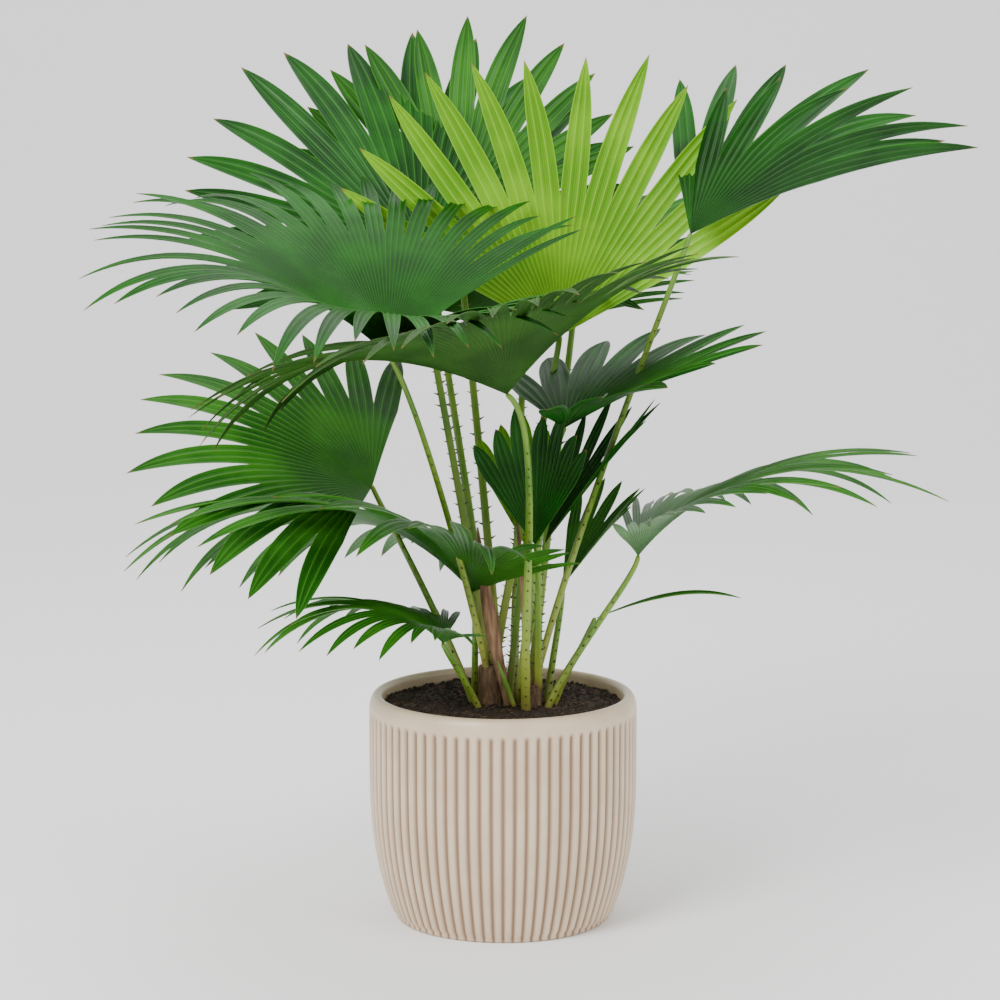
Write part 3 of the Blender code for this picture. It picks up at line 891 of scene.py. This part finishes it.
# %% Fibrous relief
def rough(seed, ridges, depth):
    """Shape of a fibrous limb: ridges along it, broken by finer noise."""
    def shape(turn, part):
        right, upper = math.cos(turn), math.sin(turn)
        coarse = Vector((right * ridges, upper * ridges, part * 2.2 + seed))
        fine = Vector((right * 3.0 * ridges, upper * 3.0 * ridges, part * 9.0 + seed))
        return 1.0 + depth * noise.noise(coarse) + 0.5 * depth * noise.noise(fine)
    return shape


def fibre_paint(name, dark, light):
    """Brown dry fibre, streaked along its length."""
    paint = Paint(name)
    streak = paint.noise(scale=260.0, detail=4.0, stretch=(1.0, 1.0, 0.10)).rise(0.32, 0.68)
    tone = paint.noise(scale=30.0).rise(0.3, 0.7)
    colour = paint.mix(streak * 0.65 + tone * 0.35, dark, light)
    paint.bump(streak, depth=0.0009, strength=0.7)
    return paint.dress(colour, 0.85)


stem_material = fibre_paint("stem_fibre", rgb(0.04, 0.022, 0.012), rgb(0.21, 0.125, 0.062))
sheath_material = fibre_paint("sheath_paper", rgb(0.11, 0.05, 0.026), rgb(0.38, 0.23, 0.12))

# %% Stems
SOIL_LEVEL = 0.203
GAP = 0.0003
STEM_RINGS = 30
STEM_SIDES = 48
STEM_SINK = 0.005
STEM_CROWN = 0.0015
STEM_CROWN_TAPER = 0.7
STEM_RIDGES = 4.0
STEM_RELIEF = 0.16
SEED_PER_METRE = 900.0

# Name, foot, top, radius at the foot and radius at the top
STEMS = (
    ("stem_left", (-0.012, -0.008, SOIL_LEVEL + GAP), (-0.0125, -0.0035, 0.2393), 0.0112, 0.0098),
    ("stem_right", (0.0265, -0.018, SOIL_LEVEL + GAP), (0.0265, -0.015, 0.2225), 0.0098, 0.009),
)


def stem_limb(name, foot, top, low, high):
    """Fibrous stem that sinks a little into the mix and closes over its CAD top."""
    foot, top = Vector(foot), Vector(top)
    parts = shares(STEM_RINGS)
    path = [foot.lerp(top, part) for part in parts]
    path = [foot - UP * STEM_SINK] + path + [top + UP * STEM_CROWN]
    radii = [low + (high - low) * math.sqrt(part) for part in parts]
    radii = [radii[0]] + radii + [STEM_CROWN_TAPER * high]
    relief = rough(low * SEED_PER_METRE, STEM_RIDGES, STEM_RELIEF)
    return limb("trunk_" + name, path, radii, STEM_SIDES, LEVEL, relief)


stems = []
for name, foot, top, low, high in STEMS:
    stem = stem_limb(name, foot, top, low, high)
    stem.data.materials.append(stem_material)
    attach(stem, "root")
    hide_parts(name)
    stems.append(stem)
print("stems:", sum(triangles(stem) for stem in stems), "triangles")

# %% Sheaths and spear
TONGUE_RINGS = 32
TONGUE_SIDES = 24
TONGUE_SINK = 0.004
TONGUE_RIDGES = 2.0
TONGUE_RELIEF = 0.22
TONGUE_THIN = 0.72
TONGUE_WIDEN = 0.36

# Dry leaf bases and a new spear: foot, tip, then radii at foot, middle and tip
Sheath = namedtuple("Sheath", "name foot tip radii bow colour")
SHEATHS = [Sheath(*row) for row in (
    ("sheath_left", (0.0045, -0.015, 0.2036), (-0.0235, -0.014, 0.372),
     (0.003, 0.0065, 0.0008), -0.004, "sheath"),
    ("sheath_right", (0.0225, -0.0205, 0.223), (0.0135, -0.028, 0.378),
     (0.0034, 0.003, 0.0012), 0.003, "sheath"),
    ("spear", (0.0105, -0.02, 0.2036), (-0.005, -0.0225, 0.248),
     (0.002, 0.0022, 0.0006), 0.0, "stalk"),
)]


def tongue(sheath):
    """Dry leaf base or unopened spear on its CAD path."""
    foot, tip = Vector(sheath.foot), Vector(sheath.tip)
    middle = foot.lerp(tip, 0.5) + LEVEL * sheath.bow
    parts = shares(TONGUE_RINGS)
    path = [bezier((foot, middle, tip), part) for part in parts]
    path[0] = foot - UP * TONGUE_SINK
    low, mid, high = sheath.radii
    radii = [low + (mid - low) * 2.0 * part if part < 0.5 else mid + (high - mid) * (2.0 * part - 1.0)
             for part in parts]
    waves = rough(len(sheath.name), TONGUE_RIDGES, TONGUE_RELIEF)

    def shape(turn, part):
        return (TONGUE_THIN + TONGUE_WIDEN * abs(math.cos(turn))) * waves(turn, part)
    return limb("tongue_" + sheath.name, path, radii, TONGUE_SIDES, LEVEL, shape)


for sheath in SHEATHS:
    made = tongue(sheath)
    made.data.materials.append(sheath_material if sheath.colour == "sheath" else stalk_material)
    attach(made, "root")
    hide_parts(sheath.name)
print(len(SHEATHS), "sheaths and spear")

# %% [markdown]
# ## Scattered things
# Crumbs, hairs and fibres all repeat one small thing over a surface. One Geometry Nodes tree
# does it: it strews points with a fixed seed, sets a crumb or a hair on each, turns it to a
# random direction inside a given range and varies its size.

# %% Scatter tree
def scatter_tree(name, thing):
    """Tree that strews crumbs or hairs over the faces of an object."""
    build = Build(name, {
        "Density": 1000.0, "Seed": 1, "Radius": 0.001, "Length": 0.01, "Smallest": 0.5,
        "Way low": (-1.0, -1.0, -1.0), "Way high": (1.0, 1.0, 1.0), "Material": None})
    seed = build.given("Seed")
    inputs = {"Mesh": build.given("Geometry"), "Density": build.given("Density"), "Seed": seed}
    points = build.node("GeometryNodeDistributePointsOnFaces", inputs)
    if thing == "crumb":
        inputs = {"Radius": build.given("Radius"), "Subdivisions": 2}
        piece = build.node("GeometryNodeMeshIcoSphere", inputs)
        flat = build.random((0.6, 0.6, 0.45), (1.2, 1.0, 0.9), seed + 3.0, "FLOAT_VECTOR")
    else:
        inputs = {"Vertices": 5, "Side Segments": 3, "Radius": build.given("Radius"),
                  "Depth": build.given("Length")}
        piece = build.node("GeometryNodeMeshCylinder", inputs)
        flat = (1.0, 1.0, 1.0)
    way = build.random(build.given("Way low"), build.given("Way high"), seed + 1.0, "FLOAT_VECTOR")
    size = build.random(build.given("Smallest"), 1.0, seed + 2.0)
    scale = build.node("ShaderNodeVectorMath", {0: flat, "Scale": size}, operation="SCALE")
    return build.instances(points, piece, way, scale)


crumb_tree = scatter_tree("strewn_crumbs", "crumb")
hair_tree = scatter_tree("strewn_hairs", "hair")


def strew(name, ground, tree, values):
    """Copy of the ground object that holds only what the tree strews on it."""
    made = bpy.data.objects.new(name, ground.data.copy())
    bpy.context.scene.collection.objects.link(made)
    run_nodes(made, tree, values)
    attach(made, "root")
    print(name + ":", triangles(made), "triangles")

# %% Fibre on the stems
for number, stem in enumerate(stems):
    strew("fibre_" + stem.name, stem, hair_tree, {
        "Density": 60000.0, "Seed": 11 + number, "Radius": 0.00022, "Length": 0.011, "Smallest": 0.4,
        "Way low": (-0.35, -0.35, 0.8), "Way high": (0.35, 0.35, 1.0), "Material": sheath_material})

# %% [markdown]
# ## Potting mix
# Seen from above the mix is a dark crumbly bed with fibres of coir. Its top is one surface
# with soft noise, and most of its look comes from what is strewn over it.

# %% Shape of the pot
POT_HEIGHT = 0.214
POT_RADIUS = 0.125
POT_FOOT_RADIUS = 0.0965
POT_FOOT_ROUND = 0.0045
POT_BELLY_HEIGHT = 0.15
POT_BELLY_POWER = 2.7
POT_SHOULDER_HEIGHT = 0.199
POT_RIM_CREST_RADIUS = 0.1175
POT_RIM_INNER_RADIUS = 0.1125
POT_WALL = 0.0125
POT_FLOOR = 0.012


def belly(rest):
    """Outer radius with this share of the belly's height left; rest is a number or a Wire."""
    return POT_RADIUS - (POT_RADIUS - POT_FOOT_RADIUS - POT_FOOT_ROUND) * rest ** POT_BELLY_POWER


def pot_radius(height):
    """Outer radius of the pot under its shoulder."""
    return belly(max(0.0, 1.0 - height / POT_BELLY_HEIGHT))


def quarter(centre_radius, centre_height, radius, height, start, steps):
    """Points of a quarter ellipse, anticlockwise from the start angle on."""
    points = []
    for index in range(steps + 1):
        turn = math.radians(start + 90.0 * index / steps)
        points.append((centre_radius + radius * math.cos(turn), centre_height + height * math.sin(turn)))
    return points


def pot_inner(height):
    """Inner radius of the pot."""
    return min(POT_RIM_INNER_RADIUS, pot_radius(height) - POT_WALL)

# %% Turned shapes
def revolved(name, profile, sides):
    """Closed solid of revolution; its (radius, height) points start and end on the axis."""
    rings = profile[1:-1]
    vertices = [Vector((0.0, 0.0, profile[0][1])), Vector((0.0, 0.0, profile[-1][1]))]
    for radius, height in rings:
        for index in range(sides):
            turn = 2.0 * math.pi * index / sides
            vertices.append(Vector((radius * math.cos(turn), radius * math.sin(turn), height)))
    faces = []
    top = 2 + (len(rings) - 1) * sides
    for index in range(sides):
        after = (index + 1) % sides
        faces.append((0, 2 + after, 2 + index))
        faces.append((1, top + index, top + after))
        for ring in range(len(rings) - 1):
            low, high = 2 + ring * sides, 2 + (ring + 1) * sides
            faces.append((low + index, low + after, high + after, high + index))
    return mesh_object(name, vertices, faces)

# %% Bed of mix
BED_DEPTH = 0.02
BED_EDGE_DROP = 0.003
BED_CLEARANCE = 0.0004
BED_RINGS = 44
BED_SIDES = 128
BED_LIFT = 0.0008
BED_NOISE_HEIGHT = 0.7
LUMPS = ((0.0022, 38.0), (0.0014, 120.0))


def make_bed():
    """Closed bed of potting mix with an uneven top, made of LUMPS of (height, scale)."""
    edge = pot_inner(SOIL_LEVEL) - BED_CLEARANCE
    bottom = SOIL_LEVEL - BED_DEPTH
    profile = [(0.0, bottom), (edge, bottom), (edge, SOIL_LEVEL - BED_EDGE_DROP)]
    profile += [(edge * (1.0 - ring / BED_RINGS), SOIL_LEVEL) for ring in range(1, BED_RINGS)]
    profile.append((0.0, SOIL_LEVEL))
    bed = revolved("soil_bed", profile, BED_SIDES)
    for vertex in bed.data.vertices:
        if vertex.co.z > SOIL_LEVEL - 0.5 * BED_EDGE_DROP:
            place = Vector((vertex.co.x, vertex.co.y, BED_NOISE_HEIGHT))
            vertex.co.z += sum(height * noise.noise(place * scale) for height, scale in LUMPS) + BED_LIFT
    return bed


def soil_paint():
    """Dark moist mix, paler grain by grain."""
    paint = Paint("soil_dark")
    grain = paint.noise(scale=420.0, detail=4.0).rise(0.3, 0.7)
    patch = paint.noise(scale=60.0).rise(0.35, 0.65)
    colour = paint.mix(grain * 0.6 + patch * 0.4, rgb(0.01, 0.006, 0.004), rgb(0.062, 0.036, 0.022))
    paint.bump(grain, depth=0.0012, strength=0.8)
    return paint.dress(colour, 0.95)


bed = make_bed()
soil_material = soil_paint()
bed.data.materials.append(soil_material)
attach(bed, "root")
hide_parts("potting_mix")
print("bed:", triangles(bed), "triangles")

# %% Crumbs and coir
coir_material = fibre_paint("coir_fibre", rgb(0.075, 0.035, 0.018), rgb(0.3, 0.16, 0.08))
TOP_FACE = 0.3
ground = mesh_object("strewing_ground", [vertex.co.copy() for vertex in bed.data.vertices],
                     [tuple(face.vertices) for face in bed.data.polygons if face.normal.z > TOP_FACE])
strew("soil_crumbs", ground, crumb_tree, {
    "Density": 42000.0, "Seed": 21, "Radius": 0.0028, "Smallest": 0.25, "Material": soil_material})
strew("soil_fibres", ground, hair_tree, {
    "Density": 9000.0, "Seed": 31, "Radius": 0.0003, "Length": 0.02, "Smallest": 0.3,
    "Way low": (-1.0, -1.0, -0.12), "Way high": (1.0, 1.0, 0.22), "Material": coir_material})
bpy.data.objects.remove(ground, do_unlink=True)

# %% [markdown]
# ## Pot
# The pot is glazed earthenware with seventy-two upright flutes under a plain rim. The body is
# a solid of revolution; a Geometry Nodes tree presses the flutes into it, because their shape
# follows one rule: a narrow round groove at equal turns, fading out under the rim.

# %% Pot body
FLUTES = 72
FLUTE_COLUMNS = 12
FOOT_STEPS = 5
OUTER_STEPS = 44
CREST_STEPS = 9
LIP_STEPS = 6
INNER_STEPS = 7


def pot_profile():
    """Outline from the middle of the underside, up the wall, over the rim and down inside."""
    profile = [(0.0, 0.0), (0.5 * POT_FOOT_RADIUS, 0.0), (POT_FOOT_RADIUS, 0.0)]
    profile += quarter(POT_FOOT_RADIUS, POT_FOOT_ROUND, POT_FOOT_ROUND, POT_FOOT_ROUND, -90.0,
                       FOOT_STEPS)[1:]
    for step in range(1, OUTER_STEPS + 1):
        height = POT_FOOT_ROUND + (POT_SHOULDER_HEIGHT - POT_FOOT_ROUND) * step / OUTER_STEPS
        profile.append((pot_radius(height), height))
    profile += quarter(POT_RIM_CREST_RADIUS, POT_SHOULDER_HEIGHT, POT_RADIUS - POT_RIM_CREST_RADIUS,
                       POT_HEIGHT - POT_SHOULDER_HEIGHT, 0.0, CREST_STEPS)[1:]
    lip = POT_RIM_CREST_RADIUS - POT_RIM_INNER_RADIUS
    profile += quarter(POT_RIM_CREST_RADIUS, POT_HEIGHT - lip, lip, lip, 90.0, LIP_STEPS)[1:]
    for step in range(INNER_STEPS, -1, -1):
        height = POT_FLOOR + (SOIL_LEVEL - POT_FLOOR) * step / INNER_STEPS
        profile.append((pot_inner(height), height))
    profile.append((0.0, POT_FLOOR))
    return profile

# %% Flute tree
FLUTE_DEPTH = 0.0023
FLUTE_TOP = 0.2
FLUTE_SHARPNESS = 2.2
FLUTE_FADE = 0.0045


def groove_wave(graph, x, y, flutes, sharpness):
    """Share of a groove's depth at this turn round the axis, and the distance from the axis."""
    turn = graph.maths("ARCTAN2", y, x)
    return (turn * flutes).wave() ** sharpness, graph.maths("SQRT", x * x + y * y)


def flute_tree():
    """Tree that presses round grooves into the outer wall."""
    build = Build("flutes_round_wall", {
        "Flutes": float(FLUTES), "Depth": FLUTE_DEPTH, "Top": FLUTE_TOP, "Material": None})
    x, y, z = build.parts(build.node("GeometryNodeInputPosition"))
    groove, radius = groove_wave(build, x, y, build.given("Flutes"), FLUTE_SHARPNESS)
    fade = (build.given("Top") - z).rise(0.0, FLUTE_FADE) * z.rise(0.0005, 0.006)
    outer = radius.rise(POT_FOOT_RADIUS - 0.001, POT_FOOT_RADIUS + 0.003)
    middle = belly((1.0 - z / POT_BELLY_HEIGHT).maximum(0.0)) - 0.5 * POT_WALL
    wall = (radius - middle).rise(0.0, 0.003)
    push = groove * fade * outer * wall * build.given("Depth") * -1.0 / radius.maximum(0.01)
    shift = build.vector(x * push, y * push, 0.0)
    inputs = {"Geometry": build.given("Geometry"), "Offset": shift}
    return build.finish(build.node("GeometryNodeSetPosition", inputs))

# %% Glaze
GROOVE_DARKENING_SHARPNESS = 2.6


def glaze_paint():
    """Cream glaze, darker in the grooves, with faint specks."""
    paint = Paint("glaze_cream")
    x, y, z = paint.parts(paint.place())
    groove, radius = groove_wave(paint, x, y, float(FLUTES), GROOVE_DARKENING_SHARPNESS)
    groove = groove * (FLUTE_TOP - z).rise(0.0, 0.006) * radius.rise(0.094, 0.099)
    patch = paint.noise(scale=26.0).rise(0.3, 0.7)
    cream = paint.mix(patch, rgb(0.6, 0.45, 0.31), rgb(0.67, 0.52, 0.37))
    # the grooves are painted a darker brown
    colour = paint.mix(groove, cream, rgb(0.23, 0.135, 0.075))
    specks = paint.noise(scale=900.0, detail=1.0).rise(0.70, 0.78)
    colour = paint.mix(specks * 0.25, colour, rgb(0.38, 0.29, 0.21))
    paint.bump(paint.noise(scale=180.0), depth=0.0002, strength=0.25)
    return paint.dress(colour, patch * 0.08 + 0.34, Coat_Weight=0.15, Coat_Roughness=0.25)

# %% Whole pot
pot = revolved("fluted_pot", pot_profile(), FLUTES * FLUTE_COLUMNS)
run_nodes(pot, flute_tree(), {
    "Flutes": float(FLUTES), "Depth": FLUTE_DEPTH, "Top": FLUTE_TOP, "Material": glaze_paint()})
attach(pot, "root")
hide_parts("pot")
print("pot:", triangles(pot), "triangles")
